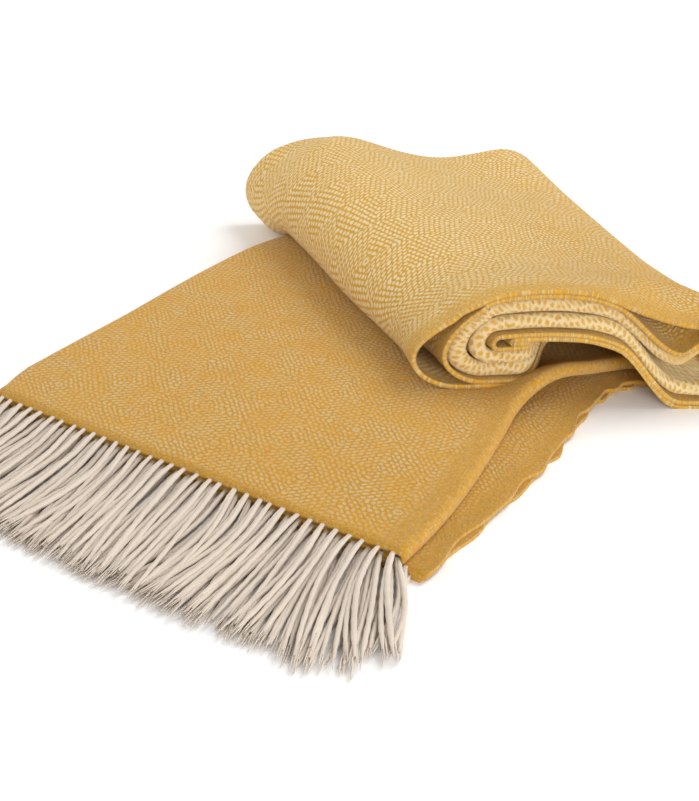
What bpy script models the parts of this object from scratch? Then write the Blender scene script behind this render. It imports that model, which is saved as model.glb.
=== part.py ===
"""A fringed wool throw, folded in four lengthwise and then folded over on itself.

One end of the folded strip, the tail, lies flat with its fringe spread out. The rest is folded into
a pad of four runs that lies across the tail. Run with: blender --background --python part.py

The pad is laid out in its own space: a runs along the folded strip, w runs across it from the near
edge (0) to the far edge (1), and h is the height over the tail's upper face.
"""

import math

import bmesh
import bpy
import numpy as np

# The cloth as it leaves the loom, in metres
THROW_WIDTH = 1.27
FRINGE_LENGTH = 0.10
QUARTERS = 4

# The folded strip
STRIP_WIDTH = THROW_WIDTH / QUARTERS
RUN_PITCH = 0.0154  # from one run of four layers to the next
RUN_THICKNESS = 0.0148  # four layers pressed together
CLOTH_COLUMNS = 13  # points across the strip, closer together at its edges
TAIL_ROWS = 14
STATIONS = 9  # steps along a run, the same in every run so that the runs lie flat on each other
LAST_STATION = 2  # the run that ends in the back hem goes no further than this
BIG_BEND_STEPS = 11
SMALL_BEND_STEPS = 8

# Where the middle of the front hem lies, so that the origin is under the middle of the whole box
HEM_MIDDLE = np.array([-0.00021, -0.19119])

# The pad in plan, from the hem's middle: its near left corner, the way its runs go, and its near
# left corner to its far left one
PAD_CORNER = np.array([0.061, 0.157])
RUN_WAY = np.array([0.823, 0.568])
PAD_ACROSS = np.array([-0.2865, 0.1865])

# The tail in plan, as the control points of its two edges. Their last points lie on the pad.
NEAR_HANDLES = (0.19, 0.05)
FAR_HANDLES = (0.34, 0.09)
TAIL_IN_PAD = 0.12  # the near edge of the tail meets the pad this far across it

# The pad's bends along its runs, at the near edge and at the far edge
LEFT_BEND = (0.0310, 0.0310)
LEFT_INNER_BEND = (0.0430, 0.0400)
RIGHT_BEND = (0.178, 0.208)
RIGHT_INNER_BEND = (0.170, 0.200)
BACK_HEM = (0.066, 0.094)

# How the pad settles, as shares of its height. Each hollow or swelling is centred at a place along
# the runs and fades out over its reach.
LEFT_DROOP = (0.30, 0.05)  # near and far
LEFT_DROOP_REACH = 0.060
RIGHT_DROOP = 0.20
RIGHT_DROOP_PLACE = (0.150, 0.175)  # where it starts, near and far
RIGHT_DROOP_REACH = 0.070
FAR_SWELLING = (0.12, 0.045, 0.045)  # share, place and reach
FAR_HOLLOW = (0.22, 0.150, 0.050)
DRAPE_WIDTH = 0.070  # the pad steps down from the tail to the floor over this
TAIL_OVERRUN = 0.06  # the tail's edges are carried on this far, to tell what lies over it
EDGE_SAMPLES = 40

# The fringe
TASSEL_PITCH = STRIP_WIDTH / 35
TASSEL_RADIUS = 0.0026
TASSEL_SIDES = 6
TASSEL_STEPS = 7
TASSEL_SWAY = 0.012  # each tassel leans this far towards the near edge
COMB_THICKNESS = 0.0024
COMB_ROOT = 0.005
LOWER_PITCH = 0.0029  # from one row of lower tassels to the next, at the front hem
TUCKED_PITCH = 0.0027  # and at the back hem, inside the pad
TOUCH_GAP = 0.0004
COMB_SHARE = 0.985  # of its place, so that neighbouring combs stay clear of each other

CREAM = (0.80, 0.74, 0.64, 1)
MUSTARD = (0.68, 0.42, 0.11, 1)


def clear_scene():
    for obj in list(bpy.data.objects):
        bpy.data.objects.remove(obj)


def wool(name, colour):
    material = bpy.data.materials.new(name)
    material.use_nodes = True
    shader = material.node_tree.nodes["Principled BSDF"]
    shader.inputs["Base Color"].default_value = colour
    shader.inputs["Roughness"].default_value = 0.95
    shader.inputs["Metallic"].default_value = 0.0
    return material


def face_outwards(mesh):
    work = bmesh.new()
    work.from_mesh(mesh)
    bmesh.ops.recalc_face_normals(work, faces=work.faces)
    work.to_mesh(mesh)
    work.free()


def add_mesh(name, points, faces, material, flat=False):
    mesh = bpy.data.meshes.new(name)
    used = sorted({corner for face in faces for corner in face})
    renumbered = {corner: i for i, corner in enumerate(used)}
    mesh.from_pydata(
        [tuple(points[corner]) for corner in used],
        [],
        [tuple(renumbered[corner] for corner in face) for face in faces],
    )
    mesh.materials.append(material)
    face_outwards(mesh)
    if not flat:
        mesh.shade_smooth()
        mesh.set_sharp_from_angle(angle=math.radians(50))
    obj = bpy.data.objects.new(name, mesh)
    bpy.context.scene.collection.objects.link(obj)
    return obj


# ---- small geometry helpers


def smooth(t):
    t = np.clip(t, 0, 1)
    return t * t * (3 - 2 * t)


def mix(near_and_far, w):
    return near_and_far[0] + (near_and_far[1] - near_and_far[0]) * w


def bezier(points, count):
    t = np.linspace(0, 1, count)[:, None]
    weights = ((1 - t) ** 3, 3 * t * (1 - t) ** 2, 3 * t**2 * (1 - t), t**3)
    return sum(weight * np.array(point) for weight, point in zip(weights, points))


def run(first, last, index, w):
    """A run of the strip's middle line, from one station to another, both counted from the left."""
    step = 1 if last >= first else -1
    station = np.arange(first, last + step, step)
    a = mix((mix(LEFT_BEND, w), mix(RIGHT_BEND, w)), station / STATIONS)
    return np.stack([a, np.full(len(a), run_height(index))], axis=1)


def bend(centre, radius, start, end, count):
    """A round bend of the strip's middle line, between two angles in degrees."""
    angle = np.radians(np.linspace(start, end, count))
    return np.stack([centre[0] + radius * np.cos(angle), centre[1] + radius * np.sin(angle)], axis=1)


def run_height(index):
    return index * RUN_PITCH + RUN_THICKNESS / 2


# ---- the strip's path


def pad_plan(a, w):
    return PAD_CORNER + np.multiply.outer(a, RUN_WAY) + np.multiply.outer(w, PAD_ACROSS)


def tail_edges(count):
    """The near and far edges of the tail in plan, from the hem to the fold that starts the pad."""
    edges = []
    for x, handles, a, w in (
        (STRIP_WIDTH / 2, NEAR_HANDLES, RIGHT_BEND[0], TAIL_IN_PAD),
        (-STRIP_WIDTH / 2, FAR_HANDLES, RIGHT_BEND[1], 1.0),
    ):
        end = pad_plan(np.array(a), np.array(w))
        points = ((x, 0), (x, handles[0]), end - handles[1] * RUN_WAY, end)
        edges.append(bezier(points, count))
    return edges


def tail_under(x, y):
    """1 where the tail lies underneath, falling smoothly to 0 beside it."""
    edges = tail_edges(EDGE_SAMPLES)
    near, far = (np.vstack([edge, edge[-1] + TAIL_OVERRUN * RUN_WAY]) for edge in edges)
    beyond_near = x - np.interp(y, near[:, 1], near[:, 0])
    beyond_far = np.interp(y, far[:, 1], far[:, 0]) - x
    beyond = np.maximum(np.maximum(beyond_near, beyond_far), 0)
    return 1 - smooth(beyond / DRAPE_WIDTH)


def pad_line(w):
    """The strip's middle line in the pad, as (a, h) points, from the tail to the back hem."""
    right, left = mix(RIGHT_BEND, w), mix(LEFT_BEND, w)
    inner_right, inner_left = mix(RIGHT_INNER_BEND, w), mix(LEFT_INNER_BEND, w)
    return np.vstack(
        [
            bend((right, run_height(1)), 2 * RUN_PITCH, -90, 90, BIG_BEND_STEPS),
            run(STATIONS - 1, 1, 3, w),
            bend((left, run_height(1.5)), 1.5 * RUN_PITCH, 90, 270, BIG_BEND_STEPS),
            run(1, STATIONS - 1, 0, w),
            bend((inner_right, run_height(0.5)), RUN_PITCH / 2, -90, 90, SMALL_BEND_STEPS),
            run(STATIONS - 1, 1, 1, w),
            bend((inner_left, run_height(1.5)), RUN_PITCH / 2, 270, 90, SMALL_BEND_STEPS),
            run(1, LAST_STATION, 2, w),
            [(mix(BACK_HEM, w), run_height(2))],
        ]
    )


def left_normals(line):
    along = np.gradient(line, axis=0)
    along /= np.linalg.norm(along, axis=1, keepdims=True)
    return np.stack([-along[:, 1], along[:, 0]], axis=1)


def hump(a, share, place, reach):
    return share * np.exp(-(((a - place) / reach) ** 2))


def settle(a, h, w):
    """How the pad sinks: its ends droop, and its far end swells at the left and has a hollow."""
    left = mix(LEFT_DROOP, w) * smooth((LEFT_DROOP_REACH - a) / LEFT_DROOP_REACH)
    right = RIGHT_DROOP * smooth((a - mix(RIGHT_DROOP_PLACE, w)) / RIGHT_DROOP_REACH)
    far = smooth(w) * (hump(a, *FAR_SWELLING) - hump(a, *FAR_HOLLOW))
    return h * (1 - left) * (1 - right) * (1 + far)


def place_in_pad(a, h, w):
    plan = pad_plan(a, w)
    lift = RUN_PITCH * tail_under(plan[..., 0], plan[..., 1])
    return np.concatenate([plan + HEM_MIDDLE, (settle(a, h, w) + lift)[..., None]], axis=-1)


def pad_sheet(w_end, offset):
    """Points of the pad's strip at one place across it, raised from the middle line by offset."""
    line = pad_line(w_end)
    a, h = (line + offset * left_normals(line)).T
    w = np.full(len(a), w_end, float)
    w[:BIG_BEND_STEPS] += TAIL_IN_PAD * (1 - w_end) * smooth(np.linspace(1, 0, BIG_BEND_STEPS))
    return place_in_pad(a, h, w)


def strip_sheet(columns, offset):
    """A grid of points over the whole strip: [along, across, xyz]."""
    near, far = tail_edges(TAIL_ROWS)
    sheet = []
    for w in (1 - np.cos(np.linspace(0, math.pi, columns))) / 2:
        plan = (1 - w) * near + w * far + HEM_MIDDLE
        height = np.full((len(plan), 1), RUN_THICKNESS / 2 + offset)
        sheet.append(np.vstack([np.hstack([plan, height])[:-1], pad_sheet(w, offset)]))
    return np.stack(sheet, axis=1)


# ---- the pieces


def woven_cloth(material):
    """The whole cloth as one folded slab, four layers thick."""
    upper = strip_sheet(CLOTH_COLUMNS, RUN_THICKNESS / 2)
    lower = strip_sheet(CLOTH_COLUMNS, -RUN_THICKNESS / 2)
    rows, columns = upper.shape[:2]
    points = np.vstack([upper.reshape(-1, 3), lower.reshape(-1, 3)])
    index = np.arange(rows * columns).reshape(rows, columns)
    under = index + rows * columns
    faces = []
    for i in range(rows - 1):
        for j in range(columns - 1):
            faces.append((index[i, j], index[i + 1, j], index[i + 1, j + 1], index[i, j + 1]))
            faces.append((under[i, j], under[i, j + 1], under[i + 1, j + 1], under[i + 1, j]))
        for j, turn in ((0, 1), (columns - 1, -1)):
            side = (index[i, j], under[i, j], under[i + 1, j], index[i + 1, j])
            faces.append(side[::turn])
    for j in range(columns - 1):
        for i, turn in ((0, -1), (rows - 1, 1)):
            side = (index[i, j], under[i, j], under[i, j + 1], index[i, j + 1])
            faces.append(side[::turn])
    return add_mesh("woven_cloth", points, faces, material)


def tassel_line(x):
    """A tassel's middle line: straight out of the hem, then leaning towards the near edge."""
    t = np.linspace(0, 1, TASSEL_STEPS)
    height = RUN_THICKNESS - TASSEL_RADIUS - TOUCH_GAP
    across = x + TASSEL_SWAY * t**2
    along = -TOUCH_GAP - FRINGE_LENGTH * t
    return np.stack([across, along, np.full(TASSEL_STEPS, height)], axis=1)


def tube(line, radius):
    """A closed tube round a middle line."""
    along = np.gradient(line, axis=0)
    along /= np.linalg.norm(along, axis=1, keepdims=True)
    side = np.cross(along, (0, 0, 1.0))
    side /= np.linalg.norm(side, axis=1, keepdims=True)
    up = np.cross(side, along)
    angle = np.arange(TASSEL_SIDES) * 2 * math.pi / TASSEL_SIDES
    rings = (
        line[:, None]
        + radius * np.cos(angle)[None, :, None] * side[:, None]
        + radius * np.sin(angle)[None, :, None] * up[:, None]
    )
    faces = []
    for i in range(len(line) - 1):
        for j in range(TASSEL_SIDES):
            k = (j + 1) % TASSEL_SIDES
            a, b = i * TASSEL_SIDES, (i + 1) * TASSEL_SIDES
            faces.append((a + j, a + k, b + k, b + j))
    last = (len(line) - 1) * TASSEL_SIDES
    faces.append(tuple(reversed(range(TASSEL_SIDES))))
    faces.append(tuple(range(last, last + TASSEL_SIDES)))
    return rings.reshape(-1, 3), faces


def front_tassels(material):
    """The first row of tassels, which lies in plain view on top of the others."""
    count = round(STRIP_WIDTH / TASSEL_PITCH)
    for number in range(count):
        x = STRIP_WIDTH / 2 - (number + 0.5) * TASSEL_PITCH
        line = tassel_line(x)
        line[:, :2] += HEM_MIDDLE
        points, faces = tube(line, TASSEL_RADIUS)
        add_mesh(f"front_tassel_{number + 1:02d}", points, faces, material)


def comb(name, count, steps, place, material):
    """Neighbouring tassels joined along their root, as a flat closed comb.

    place turns (across, along) points into world ones, and its last argument picks the upper side.
    """
    fifths = TASSEL_PITCH / 5
    across = [0] + [i * TASSEL_PITCH + edge * fifths for i in range(count) for edge in (1, 4)]
    across.append(count * TASSEL_PITCH)
    along = [0, COMB_ROOT, *np.linspace(COMB_ROOT, FRINGE_LENGTH, steps + 1)[1:]]
    grid = np.array([(x, y) for y in along for x in across])
    points = np.vstack([place(grid, COMB_THICKNESS / 2), place(grid, -COMB_THICKNESS / 2)])
    wide = len(across)
    cells = [(0, i) for i in range(wide - 1)]
    cells += [(row, i) for row in range(1, len(along) - 1) for i in range(1, wide - 1, 2)]
    firsts = [row * wide + i for row, i in cells]
    upper = [(n, n + 1, n + wide + 1, n + wide) for n in firsts]
    lower = [tuple(len(grid) + face[corner] for corner in (0, 3, 2, 1)) for face in upper]
    return add_mesh(name, points, upper + lower + rim(upper, len(grid)), material, flat=True)


def rim(upper, shift):
    """The side faces round a patch of quads whose lower copies are numbered shift higher."""
    edges = {(face[i], face[(i + 1) % 4]) for face in upper for i in range(4)}
    return [(b, a, shift + a, shift + b) for a, b in sorted(edges) if (b, a) not in edges]


def front_combs(material):
    """The three lower rows of tassels, one row for each lower quarter of the cloth."""
    groups = ((0, 9), (9, 9), (18, 9), (27, 8))
    for row in range(QUARTERS - 1):
        height = (row + 0.5) * LOWER_PITCH
        for group, (first, count) in enumerate(groups):

            def place(outline, offset):
                across = first * TASSEL_PITCH + TOUCH_GAP + outline[:, 0] * COMB_SHARE
                x = STRIP_WIDTH / 2 - across
                y = -TOUCH_GAP - outline[:, 1]
                flat = np.stack([x, y], axis=1) + HEM_MIDDLE
                return np.hstack([flat, np.full((len(x), 1), height + offset)])

            comb(f"front_lower_tassels_{row + 1}_{'abcd'[group]}", count, 1, place, material)


def back_combs(material):
    """The back hem's four rows of tassels, tucked between the top two runs of the pad."""
    groups = ((0, 12), (12, 12), (24, 11))
    for row in range(QUARTERS):
        height = run_height(2) + (row - (QUARTERS - 1) / 2) * TUCKED_PITCH
        for group, (first, count) in enumerate(groups):

            def place(outline, offset):
                across = first * TASSEL_PITCH + TOUCH_GAP + outline[:, 0] * COMB_SHARE
                w = across / STRIP_WIDTH
                a = mix(BACK_HEM, w) + TOUCH_GAP + outline[:, 1]
                return place_in_pad(a, np.full(len(a), height + offset), w)

            comb(f"back_tassels_{row + 1}_{'abc'[group]}", count, 3, place, material)


def main():
    clear_scene()
    cloth = wool("mustard_wool", MUSTARD)
    cord = wool("cream_wool", CREAM)
    woven_cloth(cloth)
    front_tassels(cord)
    front_combs(cord)
    back_combs(cord)


main()
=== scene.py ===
"""The looks of a folded wool throw: one woven sheet, its fringe, a floor, light and a camera.

The cloth is a single sheet. It is folded lengthwise into a strip of four layers, and the strip is then
folded over on itself into a pad that lies across its own tail. Both folds are worked out here from the
sizes below, so that every layer, bend and edge is real. All sizes are in metres.

Words: a runs along the strip inside the pad, h is height over the tail, and across is the distance
from the strip's near edge. w is across as a share of the strip's width. offset is a layer's distance
from the strip's middle line. Near is the side of the strip that the camera is on, far the other side.
"""

import math
import random

import bpy
import numpy as np
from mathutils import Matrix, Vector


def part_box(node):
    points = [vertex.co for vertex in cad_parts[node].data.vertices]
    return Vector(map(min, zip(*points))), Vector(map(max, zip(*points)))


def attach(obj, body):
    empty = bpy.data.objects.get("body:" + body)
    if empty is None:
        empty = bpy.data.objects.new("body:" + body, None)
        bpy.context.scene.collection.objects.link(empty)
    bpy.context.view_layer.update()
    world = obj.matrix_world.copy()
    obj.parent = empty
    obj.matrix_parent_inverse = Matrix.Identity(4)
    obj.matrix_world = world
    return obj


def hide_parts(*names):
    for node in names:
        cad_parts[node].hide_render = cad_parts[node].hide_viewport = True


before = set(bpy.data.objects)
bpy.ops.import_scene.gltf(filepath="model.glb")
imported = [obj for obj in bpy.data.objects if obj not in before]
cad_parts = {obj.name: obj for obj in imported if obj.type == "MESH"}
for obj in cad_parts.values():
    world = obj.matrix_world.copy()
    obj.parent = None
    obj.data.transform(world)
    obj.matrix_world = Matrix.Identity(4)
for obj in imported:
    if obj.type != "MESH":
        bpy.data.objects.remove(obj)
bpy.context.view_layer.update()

# The cloth as it leaves the loom
THROW_WIDTH = 1.27
FRINGE_LENGTH = 0.100
STRIP_WIDTH = THROW_WIDTH / 4
CLOTH_THICKNESS = 0.0031

# The frame's own places: the middle of the front hem
NEAR_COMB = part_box("front_lower_tassels_1_a")
FAR_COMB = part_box("front_lower_tassels_1_d")
HEM = np.array([(NEAR_COMB[1].x + FAR_COMB[0].x) / 2, NEAR_COMB[1].y])

# The pad in plan, from the hem's middle, as in the CAD
PAD_CORNER = np.array([0.061, 0.157])
RUN_WAY = np.array([0.823, 0.568])
PAD_ACROSS = np.array([-0.2865, 0.1865])
NEAR_HANDLES = (0.19, 0.05)  # how far the tail's edges hold their way at the hem and at the pad
FAR_HANDLES = (0.34, 0.09)
EDGE_OVERRUN = 0.06  # the tail is taken to go on this far under the pad
TAIL_IN_PAD = 0.12  # the tail's near edge enters the pad at this share of its width
RUN_PITCH = 0.0154
RUN_THICKNESS = 0.0148

# Bends along the runs, near and far
LEFT_BEND = (0.0310, 0.0310)
LEFT_INNER_BEND = (0.0430, 0.0400)
RIGHT_BEND = (0.178, 0.208)
RIGHT_BULGE = 0.018  # the near end of the right bend runs on this much further
RIGHT_BULGE_REACH = 0.35
RIGHT_INNER_BEND = (0.112, 0.200)
BACK_HEM = (0.199, 0.190)
TOP_RUN_LIFT = 0.0024  # the top run's swollen lip holds it up this much at the near end
TOP_RUN_REACH = 0.25

# How the pad settles, as shares of its height, near and far
LEFT_DROOP = (0.30, 0.05)
LEFT_DROOP_REACH = 0.060
RIGHT_DROOP = (0.34, 0.06)
RIGHT_LIP = 0.23  # the near edge droops this much less
RIGHT_LIP_REACH = 0.22
RIGHT_DROOP_PLACE = (0.150, 0.175)
RIGHT_DROOP_REACH = 0.070
NEAR_SWELLING = (0.04, 0.085, 0.050)  # share, place and reach along the runs
NEAR_SWELLING_REACH = 0.5
FAR_SWELLING = (0.24, 0.055, 0.042)
FAR_HOLLOW = (0.26, 0.170, 0.055)
DRAPE_WIDTH = 0.055  # beside the tail the pad comes down to the floor over this width
RUMPLE = 0.05

# The four layers of the strip, from the lowest: two single layers, and the two of the near fold. At
# the near edge the fold swells to a thick lip and squeezes the single layers together.
LAYER_OFFSETS = (-0.0056, -0.0019, 0.0019, 0.0056)
LIP_OFFSETS = (-0.0064, -0.0034, 0.0002, 0.0068)
LIP_REACH = 0.035
LIP_INSET = 0.0045
FAR_INSET = 0.0075
SELVEDGE_HANG = 0.011  # the two selvedges stick out past the near fold this far, at the hem
PAD_HANG = 0.002  # and this far in the pad
HANG_REACH = 0.060
SELVEDGE_WAVES = ((0.0016, 41), (0.0008, 67))  # height, and turns along the tail in radians
TAIL_DRIFT = 0.020  # the upper layers slip this far towards the far side on the way to the pad
TAIL_DRIFT_RISE = 0.45  # along these shares of the tail
TAIL_DRIFT_RETURN = (0.36, 0.34)
SELVEDGE_STAY = 1.4  # while the selvedges reach back to the near side by this share of it
TAIL_SPREAD = 0.008  # the far edge lies this much further out
TAIL_SPREAD_RISE = 0.04
TAIL_SPREAD_RETURN = (0.7, 0.3)

# Where the layers part at the left bend's near end, by their place in the strip
OUTER_PARTING = (0.0, 0.0166, 0.0177, 0.0215)  # from the lowest layer of the tail to the highest
INNER_PARTING = (0.022, 0.0134, 0.013, 0.0123)
PARTING_REACH = 0.45

# The pocket at the near end, where the top single layer bridges a dip in the ones under it
POCKET_START = 0.128
POCKET_LENGTH = 0.043
POCKET_RISE = 0.018
POCKET_RETURN = 0.7
POCKET_DEPTH = 0.019
POCKET_REACH = 0.22
BRIDGE_OFFSET = -0.0055  # layers past this offset dip, in full from one step further
BRIDGE_STEP = 0.002

# Past the bend of the two lowest runs the one above them drapes down to the floor, near end only
DRAPE_START = 0.131
DRAPE_LENGTH = 0.044
DRAPE_DEPTH = (0.029, 0.031)  # of the fold's layers and of the lower single layer
DRAPE_OFFSET = 0.006
DRAPE_REACH = 0.40

# The near edges of the two lowest runs are set back inside the pad, more and more to the right
SETBACK = 0.042
SETBACK_START = 0.070
SETBACK_LENGTH = 0.045
SETBACK_REACH = 0.40
SQUEEZE = 0.45  # and they are squeezed up against the run above by this share

# There the tail's near fold stands up off the floor and fills the room that they leave
TAIL_LIFT = 0.013
TAIL_LIFT_PLACE = 0.212
TAIL_LIFT_REACH = 0.040

# Columns across one quarter of the sheet, and rows along it
COLUMNS = 41
TAIL_ROWS = 80
RUN_ROWS = 34
LAST_RUN_ROWS = 30
RIGHT_BEND_ROWS = 20
LEFT_BEND_ROWS = 18
INNER_BEND_ROWS = 9

# The weave: rows of pale cells round diamonds, painted paler in the pad than in the tail: painted
# light on the pad and painted shade on the tail
DIAMOND = 0.062
CELL_LENGTH = 0.0062
CELL_WIDTH = 0.0044
TAIL_SHADE_TO_PAD_LIGHT = (0.36, 0.60)  # places along the flat cloth, where the tail's painted shade gives way to the pad's painted light
WANDER = 0.0032  # how far the yarns stray from their straight lines
STITCH = 0.0018

# Colours, each as its darkest and its palest. The tail's colours are darkened as painted shade and the
# pad's made paler as painted light
SHADED_TAIL_MUSTARD = ((0.45, 0.205, 0.002, 1), (0.70, 0.350, 0.010, 1))
LIT_PAD_MUSTARD = ((0.53, 0.270, 0.015, 1), (0.75, 0.425, 0.048, 1))
SHADED_TAIL_CREAM = ((0.46, 0.350, 0.175, 1), (0.74, 0.590, 0.340, 1))
LIT_PAD_CREAM = ((0.60, 0.46, 0.22, 1), (0.96, 0.80, 0.50, 1))
YARN = ((0.48, 0.400, 0.325, 1), (0.74, 0.660, 0.570, 1))
SHEEN_TINT = (1.0, 0.86, 0.66, 1)
FLOOR = (0.93, 0.93, 0.94, 1)

# The fringe
TASSELS = 35  # along one quarter of a hem
TASSEL_RADIUS = 0.0016
TASSEL_STEPS = 34
TASSEL_LENGTHS = (0.84, 0.92)  # shares of the fringe's length
MIDDLE_LONGER = 0.08  # in the middle of the hem they are longer by this share
NEAR_SHORTER = 0.34  # and at its two ends shorter by these
FAR_SHORTER = 0.08
TASSEL_JITTER = 0.12  # each strays from its place by up to this share of the spacing
TASSEL_LEAN = 0.010  # sideways to the near side, at the tip
NEAR_LEAN = 0.014  # more at the near end of the hem
LAYER_LEAN = 0.006
LEAN_SPREAD = 0.0032
TASSEL_CURL = 0.003  # sideways in the middle of a tassel
CURL_SPREAD = 0.0022
LAYER_REST = 0.0026  # a layer's tassels rest this much over those of the layer under it
REST_SPREAD = 0.0012
TASSEL_DROPS = (0.28, 0.42)  # they come down to the floor over this share of their length
STRAND_PARTINGS = (0.0016, 0.0034)  # sideways from the tassel's middle, either way
STRAND_RADII = (0.82, 1.08)  # shares of the tassel's radius
STRAND_TWISTS = (4, 6)
STRAND_SIDES = 8
STRAND_PLIES = 0.09
FRAYS = 4
FRAY_ROOT = 0.010  # a loose fibre leaves its strand this far before the strand's end
FRAY_REACHES = (0.002, 0.008)  # and ends this far past it
FRAY_RADII = (0.0006, 0.0006, 0.0005, 0.0004, 0.0002)
FRAY_SIDES = 4
BACK_TASSEL_STEPS = 24
BACK_TASSEL_TURN = 0.3  # the share of a back tassel that turns down under its hem
BACK_TASSEL_LENGTHS = (0.9, 0.97)
BACK_TASSEL_RADIUS = 0.00128
BACK_TASSEL_BULGE = 0.008  # how far the turn stands out past the hem
BACK_TASSEL_DROP = 0.012
BACK_TASSEL_TWIST = 5
BACK_FRINGE_START = 0.12  # the back fringe starts at this share of the strip's width
BACK_FRINGE_SHARE = 0.80

# The floor, and the lights: name, place, size, power and colour
FLOOR_REACH = 12.0
LIGHTS = (
    ("key", (0.6, 0.8, 1.5), 1.1, 19.5, (0.985, 0.99, 1.0)),
    ("front", (2.0, -1.4, 0.55), 1.2, 40, (1, 1, 1)),
    ("left", (-2.0, -0.2, 0.7), 1.4, 20, (1, 1, 1)),
)
SKY = (1.0, 0.965, 0.91, 1)
SKY_STRENGTH = 0.58

# The camera, from the middle of the hem
CAMERA_PLACE = (0.482, -0.5165, 0.450)
CAMERA_PITCH = 29.3  # degrees below level
CAMERA_TURN = 34.8
CAMERA_LENS = 62.9


# ---- small helpers


def smooth(t):
    t = np.clip(t, 0, 1)
    return t * t * (3 - 2 * t)


def fade(distance, reach):
    """1 at the near edge, falling smoothly to 0 at reach. Both in metres or both as shares."""
    return 1 - smooth(distance / reach)


def mix(near_and_far, w):
    return near_and_far[0] + (near_and_far[1] - near_and_far[0]) * w


def add_object(name, data):
    obj = bpy.data.objects.new(name, data)
    bpy.context.scene.collection.objects.link(obj)
    return obj


def bezier(points, count):
    t = np.linspace(0, 1, count)[:, None]
    weights = ((1 - t) ** 3, 3 * t * (1 - t) ** 2, 3 * t**2 * (1 - t), t**3)
    return sum(weight * np.array(point) for weight, point in zip(weights, points))


def hump(a, share, place, reach):
    return share * np.exp(-(((a - place) / reach) ** 2))


# ---- the strip's path in plan and in height


def run_height(index):
    return index * RUN_PITCH + RUN_THICKNESS / 2


def pad_plan(a, w):
    return PAD_CORNER + np.multiply.outer(a, RUN_WAY) + np.multiply.outer(w, PAD_ACROSS)


def tail_edges(count):
    """The near and far edges of the tail in plan, from the hem to the fold that starts the pad."""
    edges = []
    for x, handles, a, w in (
        (STRIP_WIDTH / 2, NEAR_HANDLES, RIGHT_BEND[0], TAIL_IN_PAD),
        (-STRIP_WIDTH / 2, FAR_HANDLES, RIGHT_BEND[1], 1.0),
    ):
        end = pad_plan(np.array(a), np.array(w))
        points = ((x, 0), (x, handles[0]), end - handles[1] * RUN_WAY, end)
        edges.append(bezier(points, count))
    return edges


EDGE_SAMPLES = [np.vstack([edge, edge[-1] + EDGE_OVERRUN * RUN_WAY]) for edge in tail_edges(60)]


def tail_under(x, y):
    """1 where the tail lies underneath, falling smoothly to 0 beside it."""
    near, far = EDGE_SAMPLES
    beyond_near = x - np.interp(y, near[:, 1], near[:, 0])
    beyond_far = np.interp(y, far[:, 1], far[:, 0]) - x
    beyond = np.maximum(np.maximum(beyond_near, beyond_far), 0)
    return 1 - smooth(beyond / DRAPE_WIDTH)


def settle(a, h, w):
    """The height of a place in the pad once the cloth has settled."""
    left = mix(LEFT_DROOP, w) * smooth((LEFT_DROOP_REACH - a) / LEFT_DROOP_REACH)
    right_droop = mix(RIGHT_DROOP, w) - RIGHT_LIP * fade(w, RIGHT_LIP_REACH)
    right = right_droop * smooth((a - mix(RIGHT_DROOP_PLACE, w)) / RIGHT_DROOP_REACH)
    near = fade(w, NEAR_SWELLING_REACH) * hump(a, *NEAR_SWELLING)
    far = smooth(w) * (hump(a, *FAR_SWELLING) - hump(a, *FAR_HOLLOW))
    return h * (1 - left) * (1 - right) * (1 + near + far)


def drape(a, w, single):
    """How far the run over the lowest two sinks to the floor past their bend.

    single is 0 for the fold's layers and 1 for the lower single layer.
    """
    depth = mix(DRAPE_DEPTH, single) * fade(w, DRAPE_REACH)
    return depth * smooth((a - DRAPE_START) / DRAPE_LENGTH)


def pocket(a):
    """The pocket's shape along the run, from 0 to 1."""
    sunk = smooth((a - POCKET_START) / POCKET_LENGTH)
    return sunk * (1 - POCKET_RETURN * smooth((a - POCKET_START - POCKET_LENGTH) / POCKET_RISE))


def pad_place(a, h, w, shown_w):
    """Places in the pad as (x, y, z) from the hem's middle. shown_w is where they lie across it."""
    plan = pad_plan(a, shown_w)
    lift = RUN_PITCH * tail_under(plan[:, 0], plan[:, 1])
    return np.column_stack([plan, settle(a, h, w) + lift])


def rumple(x, y):
    """Slow waves in the cloth, from -1 to 1, the same for every layer at one place."""
    waves = ((31, 17, 0.4), (-23, 39, 1.9), (52, -11, 3.1), (14, 61, 5.0), (-47, -36, 2.2))
    return sum(np.sin(kx * x + ky * y + phase) for kx, ky, phase in waves) / len(waves)


def bend(centre_a, centre_run, radius, start, end, count):
    """An arc of the strip's line as (a, h) points, its centre level with a run."""
    angle = np.radians(np.linspace(start, end, count + 2)[1:-1])
    height = run_height(centre_run)
    return np.stack([centre_a + radius * np.cos(angle), height + radius * np.sin(angle)], axis=1)


def run(start, end, height, count):
    """A level run of the strip's line as (a, h) points."""
    return np.stack([np.linspace(start, end, count), np.full(count, height)], axis=1)


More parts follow.
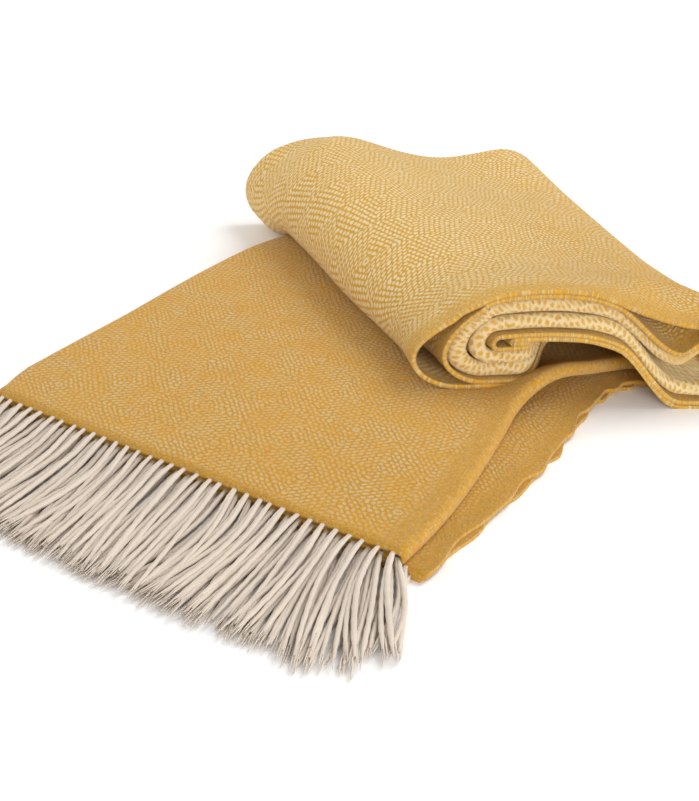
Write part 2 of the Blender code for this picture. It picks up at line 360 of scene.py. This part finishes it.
def pad_line(w, offset):
    """One layer's line through the pad, as (a, h) points, from the tail to the back hem."""
    near = fade(w, PARTING_REACH)
    outer = mix(LEFT_BEND, w) + near * np.interp(offset, LIP_OFFSETS, OUTER_PARTING)
    inner = mix(LEFT_INNER_BEND, w) + near * np.interp(offset, LIP_OFFSETS, INNER_PARTING)
    right = mix(RIGHT_BEND, w) + RIGHT_BULGE * fade(w, RIGHT_BULGE_REACH)
    inner_right = mix(RIGHT_INNER_BEND, w)
    dips = smooth((offset - BRIDGE_OFFSET) / BRIDGE_STEP)
    single = smooth(-offset / DRAPE_OFFSET)

    top = run_height(3) + TOP_RUN_LIFT * fade(w, TOP_RUN_REACH)
    top_run = run(right, outer, top - offset, RUN_ROWS)
    top_run[:, 1] -= POCKET_DEPTH * fade(w, POCKET_REACH) * dips * pocket(top_run[:, 0])
    last_run = run(inner, mix(BACK_HEM, w), run_height(2) + offset, LAST_RUN_ROWS)
    last_run[:, 1] -= drape(last_run[:, 0], w, single)
    return np.vstack(
        [
            bend(right, 1, 2 * RUN_PITCH - offset, -90, 90, RIGHT_BEND_ROWS),
            top_run,
            bend(outer, 1.5, 1.5 * RUN_PITCH - offset, 90, 270, LEFT_BEND_ROWS),
            run(outer, inner_right, run_height(0) + offset, RUN_ROWS),
            bend(inner_right, 0.5, RUN_PITCH / 2 - offset, -90, 90, INNER_BEND_ROWS),
            run(inner_right, inner, run_height(1) - offset, RUN_ROWS),
            bend(inner, 1.5, RUN_PITCH / 2 + offset, 270, 90, INNER_BEND_ROWS),
            last_run,
        ]
    )


# ---- the strip's cross-section


def cross_section():
    """The columns of the sheet as (across, layer) pairs, from one selvedge to the other.

    Along the sheet from its first selvedge, layer 1 is the upper single layer, 2 and 3 are the near
    fold's two, and 4 is the lower single layer. A number between two of them is inside a fold.
    """
    spread = (1 - np.cos(np.linspace(0, math.pi, COLUMNS))) / 2
    single = spread * (STRIP_WIDTH - FAR_INSET)
    folded = LIP_INSET + spread * (STRIP_WIDTH - FAR_INSET - LIP_INSET)
    far = STRIP_WIDTH - FAR_INSET
    columns = [(x, 1.0) for x in single]
    columns += [(far, t) for t in np.linspace(1, 2, 6)[1:-1]]
    columns += [(x, 2.0) for x in folded[::-1]]
    columns += [(LIP_INSET, t) for t in np.linspace(2, 3, 8)[1:-1]]
    columns += [(x, 3.0) for x in folded]
    columns += [(far, t) for t in np.linspace(3, 4, 10)[1:-1]]
    columns += [(x, 4.0) for x in single[::-1]]
    return np.array(columns)


def column_place(across, layer, hang):
    """Where a column lies: its distance from the near edge and its offset from the middle line."""
    flat, swollen = np.array(LAYER_OFFSETS), np.array(LIP_OFFSETS)
    single_low, single_high, fold_low, fold_high = flat + (swollen - flat) * fade(across, LIP_REACH)
    order = (single_high, fold_low, fold_high, single_low)
    fold = min(int(layer) - 1, 2)
    turn = (layer - 1 - fold) * math.pi
    start, end = order[fold], order[fold + 1]
    offset = (start + end) / 2 - (end - start) / 2 * math.cos(turn)
    side = -1 if fold == 1 else 1
    out = side * abs(end - start) / 2 * math.sin(turn)
    selvedge = (layer in (1.0, 4.0)) * fade(across, HANG_REACH)
    return across + out - hang * selvedge, offset


# ---- the cloth


def tail_drift(t):
    """How far the layers have slipped sideways, from 0 to 1, at a share of the tail's length."""
    place, length = TAIL_DRIFT_RETURN
    return smooth(t / TAIL_DRIFT_RISE) * (1 - smooth((t - place) / length))


def tail_spread(t):
    place, length = TAIL_SPREAD_RETURN
    return TAIL_SPREAD * smooth(t / TAIL_SPREAD_RISE) * (1 - smooth((t - place) / length))


def tail_rows(across, layer):
    near, far = tail_edges(TAIL_ROWS + 1)
    t = np.linspace(0, 1, TAIL_ROWS + 1)[:-1]
    drift = TAIL_DRIFT * tail_drift(t)
    x, offset = column_place(across, layer, 1.0)
    start, _ = column_place(across, layer, 0.0)
    (slow, slow_turns), (quick, quick_turns) = SELVEDGE_WAVES
    waves = slow * np.sin(t * slow_turns + layer) + quick * np.sin(t * quick_turns)
    w = (start + (x - start) * (SELVEDGE_HANG + SELVEDGE_STAY * drift + waves)) / STRIP_WIDTH
    plan = (1 - w)[:, None] * near[:-1] + w[:, None] * far[:-1]
    plan[:, 0] -= drift + w * tail_spread(t)
    lift = hump(plan[:, 1], TAIL_LIFT, TAIL_LIFT_PLACE, TAIL_LIFT_REACH)
    lift *= fade(across, LIP_REACH) * smooth(layer - 1) * smooth(4 - layer)
    return np.column_stack([plan, RUN_THICKNESS / 2 + offset + lift])


def pad_rows(across, offset):
    w = across / STRIP_WIDTH
    a, h = pad_line(np.clip(w, 0, 1), offset).T
    shown_w = np.full(len(a), w)
    entry = smooth(np.linspace(1, 0, RIGHT_BEND_ROWS))
    shown_w[:RIGHT_BEND_ROWS] += TAIL_IN_PAD * (1 - w) * entry
    first = RIGHT_BEND_ROWS + RUN_ROWS + LEFT_BEND_ROWS
    lowest = slice(first, first + 2 * RUN_ROWS + INNER_BEND_ROWS)
    share = smooth((a[lowest] - SETBACK_START) / SETBACK_LENGTH) * fade(w, SETBACK_REACH)
    shown_w[lowest] += SETBACK / STRIP_WIDTH * share
    h[lowest] += SQUEEZE * share * (2 * RUN_PITCH - h[lowest])
    return pad_place(a, h, w, shown_w)


def cloth_grid():
    """All points of the sheet as [row, column, xyz], and their flat places as [row, column, uv]."""
    sheet = []
    for across, layer in cross_section():
        pad_across, pad_offset = column_place(across, layer, PAD_HANG)
        sheet.append(np.vstack([tail_rows(across, layer), pad_rows(pad_across, pad_offset)]))
    grid = np.stack(sheet, axis=1)
    grid[..., 2] *= 1 + RUMPLE * rumple(grid[..., 0], grid[..., 1])
    grid[..., :2] += HEM
    return grid, flat_places(grid)


def flat_places(grid):
    """Where each point of the folded sheet lies on the flat cloth.

    Lengths along the cloth are the mean of all layers at each edge, so the weave isn't sheared.
    """
    steps = np.linalg.norm(np.diff(grid, axis=0), axis=2)
    along = np.vstack([np.zeros(grid.shape[1]), np.cumsum(steps, axis=0)])
    base = cross_section()[:, 0]
    edge = LIP_REACH / 4
    near_along = along[:, base < edge].mean(axis=1, keepdims=True)
    far_along = along[:, base > STRIP_WIDTH - edge].mean(axis=1, keepdims=True)
    w = base / STRIP_WIDTH
    along = (1 - w) * near_along + w * far_along
    sideways = np.linalg.norm(np.diff(grid[TAIL_ROWS // 4], axis=0), axis=1)
    across = np.concatenate([[0], np.cumsum(sideways)])
    across *= THROW_WIDTH / across[-1]
    return np.stack([np.broadcast_to(across, along.shape), along], axis=-1)


def add_sheet(name, grid, flat, material):
    rows, columns = grid.shape[:2]
    index = np.arange(rows * columns).reshape(rows, columns)
    corners = (index[:-1, :-1], index[:-1, 1:], index[1:, 1:], index[1:, :-1])
    faces = np.stack(corners, axis=-1).reshape(-1, 4)
    mesh = bpy.data.meshes.new(name)
    mesh.from_pydata(grid.reshape(-1, 3).tolist(), [], faces.tolist())
    layer = mesh.uv_layers.new(name="flat")
    layer.data.foreach_set("uv", flat.reshape(-1, 2)[faces.ravel()].ravel().astype(np.float32))
    mesh.materials.append(material)
    mesh.shade_smooth()
    return add_object(name, mesh)


def woven_throw(material):
    grid, flat = cloth_grid()
    throw = add_sheet("woven_throw", grid, flat, material)
    solid = throw.modifiers.new("thickness", "SOLIDIFY")
    solid.thickness = CLOTH_THICKNESS
    solid.offset = 0.0
    return throw


# ---- the fringe


class Yarns:
    """Collects tubes and makes one mesh of them."""

    def __init__(self):
        self.points = []
        self.faces = []

    def add(self, line, radius, sides, twist_turns=0.0, plies=0.0):
        """A closed tube whose section has two plies that turn along it."""
        along = np.gradient(line, axis=0)
        along /= np.linalg.norm(along, axis=1, keepdims=True)
        side = np.cross(along, (0, 0, 1.0))
        side /= np.linalg.norm(side, axis=1, keepdims=True)
        up = np.cross(side, along)
        count = len(line)
        t = np.linspace(0, 1, count)[:, None]
        angle = np.arange(sides)[None] * 2 * math.pi / sides
        turned = angle - t * twist_turns * 2 * math.pi
        reach = np.asarray(radius).reshape(-1, 1) * (1 + plies * np.cos(2 * turned))
        rings = (
            line[:, None]
            + (reach * np.cos(angle))[..., None] * side[:, None]
            + (reach * np.sin(angle))[..., None] * up[:, None]
        )
        first = sum(len(points) for points in self.points)
        self.points.append(rings.reshape(-1, 3))
        index = first + np.arange(count * sides).reshape(count, sides)
        nexts = np.roll(index, -1, axis=1)
        quads = np.stack([index[:-1], nexts[:-1], nexts[1:], index[1:]], axis=-1)
        self.faces += quads.reshape(-1, 4).tolist()
        self.faces.append(index[0, ::-1].tolist())
        self.faces.append(index[-1].tolist())

    def make(self, name, material):
        mesh = bpy.data.meshes.new(name)
        mesh.from_pydata(np.vstack(self.points).tolist(), [], self.faces)
        mesh.materials.append(material)
        mesh.shade_smooth()
        return add_object(name, mesh)


def fray(yarns, end, way, draw):
    """A loose fibre at a strand's end, kept above the floor."""
    spread = np.array([draw.uniform(-1, 1), draw.uniform(-1, 1), draw.uniform(-0.5, 0.5)])
    start = end - way * FRAY_ROOT + spread * 0.0009
    tip = end + way * draw.uniform(*FRAY_REACHES) + spread * 0.0016
    tip[2] = max(tip[2], FRAY_RADII[0])
    middle = (start + tip) / 2 + spread * 0.0004
    yarns.add(bezier([start, middle, middle, tip], len(FRAY_RADII)), FRAY_RADII, FRAY_SIDES)


def strand(yarns, line, parting, draw):
    """One soft yarn, thin where it leaves the hem and tapered at its frayed end."""
    t = np.linspace(0, 1, len(line))
    line = line.copy()
    line[:, 0] += parting * smooth(t / 0.8) * (0.2 + t) + 0.2 * parting
    line[:, 2] += (parting > 0) * 0.0012 * np.sin(math.pi * t)
    radius = TASSEL_RADIUS * draw.uniform(*STRAND_RADII)
    swell = radius * (0.60 + 0.40 * smooth(t / 0.18) - 0.50 * smooth((t - 0.86) / 0.14))
    turns = draw.uniform(*STRAND_TWISTS)
    yarns.add(line, swell, STRAND_SIDES, twist_turns=turns, plies=STRAND_PLIES)
    way = line[-1] - line[-4]
    way = way / np.linalg.norm(way)
    for _ in range(FRAYS):
        fray(yarns, line[-1], way, draw)


def tassel(yarns, line, draw):
    """Two yarns that leave the hem as one and part on the way to their ends."""
    parting = draw.uniform(*STRAND_PARTINGS)
    for side in (-1, 1):
        strand(yarns, line, side * parting, draw)


def front_tassel_line(layer, number, draw):
    """A front tassel's line: out of its layer at the hem, down on to the floor and away from it.

    share is its place along the hem, 0 at the near corner and 1 at the far one.
    """
    t = np.linspace(0, 1, TASSEL_STEPS)
    jitter = draw.uniform(-TASSEL_JITTER, TASSEL_JITTER)
    share = (number + 0.5 + 0.25 * (layer - 1.5) + jitter) / TASSELS
    near = 1 - share
    x = STRIP_WIDTH * (0.5 - share)
    if layer < 2:
        x += 0.3 * SELVEDGE_HANG * fade(share * STRIP_WIDTH, HANG_REACH)

    middle = MIDDLE_LONGER * math.sin(math.pi * share)
    length = FRINGE_LENGTH * draw.uniform(*TASSEL_LENGTHS) * (1 + middle)
    at_near, at_far = smooth((near - 0.90) / 0.10), smooth((share - 0.7) / 0.3)
    length *= 1 - NEAR_SHORTER * at_near - FAR_SHORTER * at_far

    lean = TASSEL_LEAN + NEAR_LEAN * smooth((near - 0.70) / 0.23)
    lean += LAYER_LEAN * (layer - 1) * smooth((near - 0.88) / 0.12)
    lean += LAYER_LEAN * math.sin(11 * share + 0.8 * layer) + draw.gauss(0, LEAN_SPREAD)
    curl = TASSEL_CURL * (1 + math.sin(17 * share + layer)) + draw.gauss(0, CURL_SPREAD)
    sway = lean * t**1.6 + curl * np.sin(math.pi * t)

    hem_height = LAYER_OFFSETS[layer] + RUN_THICKNESS / 2
    rest = TASSEL_RADIUS + LAYER_REST * layer * (1 - 0.5 * t) + draw.uniform(0, REST_SPREAD)
    drop = smooth(t / draw.uniform(*TASSEL_DROPS))
    z = hem_height * (1 - drop) + rest * drop
    y = -length * (t - 0.04 * np.sin(math.pi * t)) + 0.002
    return np.column_stack([HEM[0] + x + sway, HEM[1] + y, z])


def front_fringe(material):
    draw = random.Random(7)
    yarns = Yarns()
    for layer in range(4):
        for number in range(TASSELS):
            tassel(yarns, front_tassel_line(layer, number, draw), draw)
    return yarns.make("front_fringe", material)


def back_tassel_line(offset, number, draw):
    """A back tassel's line: down under its hem and back along it, inside the pad."""
    t = np.linspace(0, 1, BACK_TASSEL_STEPS)
    w = BACK_FRINGE_START + BACK_FRINGE_SHARE * (number + 0.5) / TASSELS
    reach = FRINGE_LENGTH * draw.uniform(*BACK_TASSEL_LENGTHS)
    turn = np.minimum(t / BACK_TASSEL_TURN, 1)
    back = reach * np.maximum(t - BACK_TASSEL_TURN, 0)
    a = mix(BACK_HEM, w) + BACK_TASSEL_BULGE * np.sin(math.pi * turn) - back
    h = run_height(2) + offset * 0.6 - BACK_TASSEL_DROP * smooth(turn)
    line = pad_place(a, h - drape(a, w, 0), w, np.full(len(a), w))
    line[:, :2] += HEM
    return line


def back_fringe(material):
    draw = random.Random(11)
    yarns = Yarns()
    for offset in LAYER_OFFSETS:
        for number in range(TASSELS):
            line = back_tassel_line(offset, number, draw)
            yarns.add(line, BACK_TASSEL_RADIUS, STRAND_SIDES, BACK_TASSEL_TWIST, STRAND_PLIES)
    return yarns.make("back_fringe", material)


# ---- materials


class Nodes:
    """Short calls for building a material's node tree."""

    def __init__(self, name):
        self.material = bpy.data.materials.new(name)
        self.material.use_nodes = True
        self.tree = self.material.node_tree
        self.shader = self.tree.nodes["Principled BSDF"]

    def put(self, value, socket):
        if isinstance(value, bpy.types.NodeSocket):
            self.tree.links.new(value, socket)
        else:
            socket.default_value = value

    def math(self, operation, *values, clamp=False):
        node = self.tree.nodes.new("ShaderNodeMath")
        node.operation = operation
        node.use_clamp = clamp
        for value, socket in zip(values, node.inputs):
            self.put(value, socket)
        return node.outputs[0]

    def plus(self, first, second):
        return self.math("ADD", first, second)

    def minus(self, first, second):
        return self.math("SUBTRACT", first, second)

    def times(self, first, second):
        return self.math("MULTIPLY", first, second)

    def most(self, first, second):
        return self.math("MAXIMUM", first, second)

    def blend(self, share, first, second):
        """first where share is 0 and second where it is 1."""
        return self.plus(first, self.times(self.minus(second, first), share))

    def set(self, **values):
        """Sets the shader's sockets, with _ for a space in their names."""
        for name, value in values.items():
            self.put(value, self.shader.inputs[name.replace("_", " ")])

    def noise(self, vector, scale, detail=2.0):
        node = self.tree.nodes.new("ShaderNodeTexNoise")
        self.put(vector, node.inputs["Vector"])
        node.inputs["Scale"].default_value = scale
        node.inputs["Detail"].default_value = detail
        return node.outputs["Fac"]

    def ramp(self, value, low, high, to_low=0.0, to_high=1.0):
        node = self.tree.nodes.new("ShaderNodeMapRange")
        node.interpolation_type = "SMOOTHSTEP"
        for socket, item in zip(node.inputs, (value, low, high, to_low, to_high)):
            self.put(item, socket)
        return node.outputs[0]

    def mix(self, factor, first, second):
        node = self.tree.nodes.new("ShaderNodeMix")
        node.data_type = "RGBA"
        self.put(factor, node.inputs[0])
        self.put(first, node.inputs[6])
        self.put(second, node.inputs[7])
        return node.outputs[2]

    def bump(self, height, strength, distance):
        node = self.tree.nodes.new("ShaderNodeBump")
        node.inputs["Strength"].default_value = strength
        node.inputs["Distance"].default_value = distance
        self.put(height, node.inputs["Height"])
        self.put(node.outputs[0], self.shader.inputs["Normal"])


def cell_shape(n, u, v, flat):
    """Low inside a cell and high between cells, with a ragged edge."""
    fold_u = n.math("PINGPONG", u, DIAMOND / 2)
    fold_v = n.math("PINGPONG", v, DIAMOND / 2)
    ring = n.math("DIVIDE", n.plus(fold_u, fold_v), CELL_WIDTH)
    along = n.math("DIVIDE", n.minus(fold_u, fold_v), CELL_LENGTH)
    shift = n.times(n.math("MODULO", n.math("FLOOR", ring), 2.0), 0.5)
    across_cell = n.minus(n.math("FRACT", ring), 0.5)
    # 40 whole cells keep the number above zero
    along_cell = n.minus(n.math("FRACT", n.plus(along, n.plus(shift, 40.0))), 0.5)
    sides = [
        n.math("POWER", n.math("ABSOLUTE", n.math("DIVIDE", side, half)), 2.4)
        for side, half in ((across_cell, 0.36), (along_cell, 0.40))
    ]
    ragged = n.times(n.minus(n.noise(flat, 420, 5), 0.5), 4.2)
    return n.plus(n.plus(*sides), ragged)


def plain_band(n, v, from_fold, from_selvedge):
    """1 where the cells give way to mustard: at the hem, the selvedges and the tail's near fold."""
    in_tail = n.ramp(v, 0.30, 0.40, 1.0, 0.0)
    near_fold = n.times(n.ramp(from_fold, 0.005, 0.016, 0.8, 0.0), in_tail)
    hem = n.ramp(v, 0.002, 0.011, 0.8, 0.0)
    selvedge = n.ramp(from_selvedge, 0.006, 0.020, 0.9, 0.0)
    return n.most(n.most(hem, selvedge), near_fold)


def selvedge_stitch(n, along, from_selvedge, flat):
    """Short pale stitches over the selvedges, some of them faint."""
    stitch = n.ramp(n.math("PINGPONG", along, STITCH), 0.0008, 0.0016)
    stitch = n.times(stitch, n.ramp(from_selvedge, 0.0012, 0.0026, 1.0, 0.0))
    return n.times(stitch, n.ramp(n.noise(flat, 500, 2), 0.42, 0.62, 0.05, 0.55))


def paleness(n, flat, along, u, v):
    """How much cream yarn shows, from 0 to 1."""
    shape = cell_shape(n, u, v, flat)
    from_fold = n.math("ABSOLUTE", n.minus(u, THROW_WIDTH / 2))
    from_selvedge = n.minus(THROW_WIDTH / 2, from_fold)
    blotches = n.ramp(n.noise(flat, 45, 3), 0.3, 0.7, -0.24, 0.24)
    # painted light and shade: more cream shows in the pad than in the tail, with random blotches on
    # top
    depth = n.plus(n.ramp(v, *TAIL_SHADE_TO_PAD_LIGHT, 0.66, 1.12), blotches)
    dots = n.times(n.ramp(shape, 0.20, 1.50, 1.0, 0.0), depth)
    specks = n.times(n.ramp(n.noise(flat, 650, 4), 0.50, 0.62), 0.62)
    dots = n.blend(plain_band(n, v, from_fold, from_selvedge), dots, specks)
    # the near fold turns its cream face out in the pad, with mustard cells on it
    lip = n.times(n.ramp(from_fold, 0.008, 0.020, 1.0, 0.0), n.ramp(v, 0.40, 0.46))
    lip_dots = n.minus(0.90, n.times(n.ramp(shape, -0.2, 1.4, 1.0, 0.0), 0.78))
    stitch = selvedge_stitch(n, along, from_selvedge, flat)
    return n.math("MAXIMUM", n.blend(lip, dots, lip_dots), stitch, clamp=True)


def weave_material():
    """Pale cells on mustard, in rows that turn round concentric diamonds, with a brushed nap."""
    n = Nodes("mustard_weave")
    uv = n.tree.nodes.new("ShaderNodeUVMap")
    uv.uv_map = "flat"
    flat = uv.outputs[0]
    split = n.tree.nodes.new("ShaderNodeSeparateXYZ")
    n.put(flat, split.inputs[0])
    wander = n.times(n.minus(n.noise(flat, 120), 0.5), WANDER)
    u = n.plus(split.outputs[0], wander)
    v = n.minus(split.outputs[1], wander)
    pale = paleness(n, flat, split.outputs[1], u, v)

    fibres = n.noise(flat, 2600, 4)
    patches = n.noise(flat, 14, 3)
    slubs = n.ramp(n.noise(flat, 260, 3), 0.35, 0.65)
    tone = n.plus(n.times(fibres, 0.35), n.times(patches, 0.25))
    tone = n.plus(tone, n.times(slubs, 0.3))
    # painted light and shade: the same cloth is coloured darker in the tail and paler in the pad
    pad_painted_light = n.ramp(v, *TAIL_SHADE_TO_PAD_LIGHT)
    mustard = n.mix(pad_painted_light, n.mix(tone, *SHADED_TAIL_MUSTARD), n.mix(tone, *LIT_PAD_MUSTARD))
    cream = n.mix(pad_painted_light, n.mix(fibres, *SHADED_TAIL_CREAM), n.mix(fibres, *LIT_PAD_CREAM))
    n.set(Base_Color=n.mix(pale, mustard, cream), Roughness=n.ramp(fibres, 0.3, 0.7, 0.82, 1.0))
    n.set(Specular_IOR_Level=0.1, Sheen_Weight=0.30, Sheen_Roughness=0.5)
    n.set(Sheen_Tint=SHEEN_TINT)
    n.bump(n.plus(n.times(pale, 0.7), n.times(fibres, 0.6)), 0.9, 0.0011)
    return n.material


def yarn_material():
    """Undyed wool: pale, matt, with fine fibres."""
    n = Nodes("cream_yarn")
    place = n.tree.nodes.new("ShaderNodeTexCoord").outputs["Object"]
    fibres = n.noise(place, 900, 4)
    patches = n.noise(place, 60, 2)
    tone = n.plus(n.times(fibres, 0.6), n.times(patches, 0.4))
    n.set(Base_Color=n.mix(tone, *YARN), Roughness=n.ramp(fibres, 0.3, 0.7, 0.8, 1.0))
    n.set(Specular_IOR_Level=0.1, Sheen_Weight=0.3)
    n.bump(fibres, 0.5, 0.0006)
    return n.material


def floor_material():
    n = Nodes("white_floor")
    n.set(Base_Color=FLOOR, Roughness=0.9, Specular_IOR_Level=0.1)
    return n.material


# ---- floor, light and camera


def add_floor():
    mesh = bpy.data.meshes.new("floor")
    signs = ((-1, -1), (1, -1), (1, 1), (-1, 1))
    corners = [(FLOOR_REACH * x, FLOOR_REACH * y, 0) for x, y in signs]
    mesh.from_pydata(corners, [], [(0, 1, 2, 3)])
    mesh.materials.append(floor_material())
    add_object("floor", mesh)


def add_area_light(name, place, size, power, colour):
    """A square light that faces the middle of the scene."""
    lamp = bpy.data.lights.new(name, "AREA")
    lamp.energy = power
    lamp.size = size
    lamp.color = colour
    obj = add_object(name, lamp)
    obj.location = place
    way = -obj.location
    obj.rotation_euler = way.to_track_quat("-Z", "Y").to_euler()


def add_light():
    world = bpy.data.worlds.new("studio")
    world.use_nodes = True
    background = world.node_tree.nodes["Background"]
    background.inputs["Color"].default_value = SKY
    background.inputs["Strength"].default_value = SKY_STRENGTH
    bpy.context.scene.world = world
    for light in LIGHTS:
        add_area_light(*light)
    bpy.context.scene.view_settings.view_transform = "Standard"


def add_camera():
    """Looks from the near side of the hem, down along the tail."""
    camera = bpy.data.cameras.new("camera")
    camera.lens = CAMERA_LENS
    obj = add_object("camera", camera)
    x, y, z = CAMERA_PLACE
    obj.location = (HEM[0] + x, HEM[1] + y, z)
    obj.rotation_euler = (math.radians(90 - CAMERA_PITCH), 0, math.radians(CAMERA_TURN))
    bpy.context.scene.camera = obj


def main():
    weave = weave_material()
    yarn = yarn_material()
    throw = woven_throw(weave)
    front = front_fringe(yarn)
    back = back_fringe(yarn)
    front_nodes = [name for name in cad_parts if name.startswith("front_")]
    back_nodes = [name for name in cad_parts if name.startswith("back_")]
    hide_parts("woven_cloth")
    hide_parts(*front_nodes)
    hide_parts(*back_nodes)
    for piece in (throw, front, back):
        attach(piece, "root")
    add_floor()
    add_light()
    add_camera()


main()
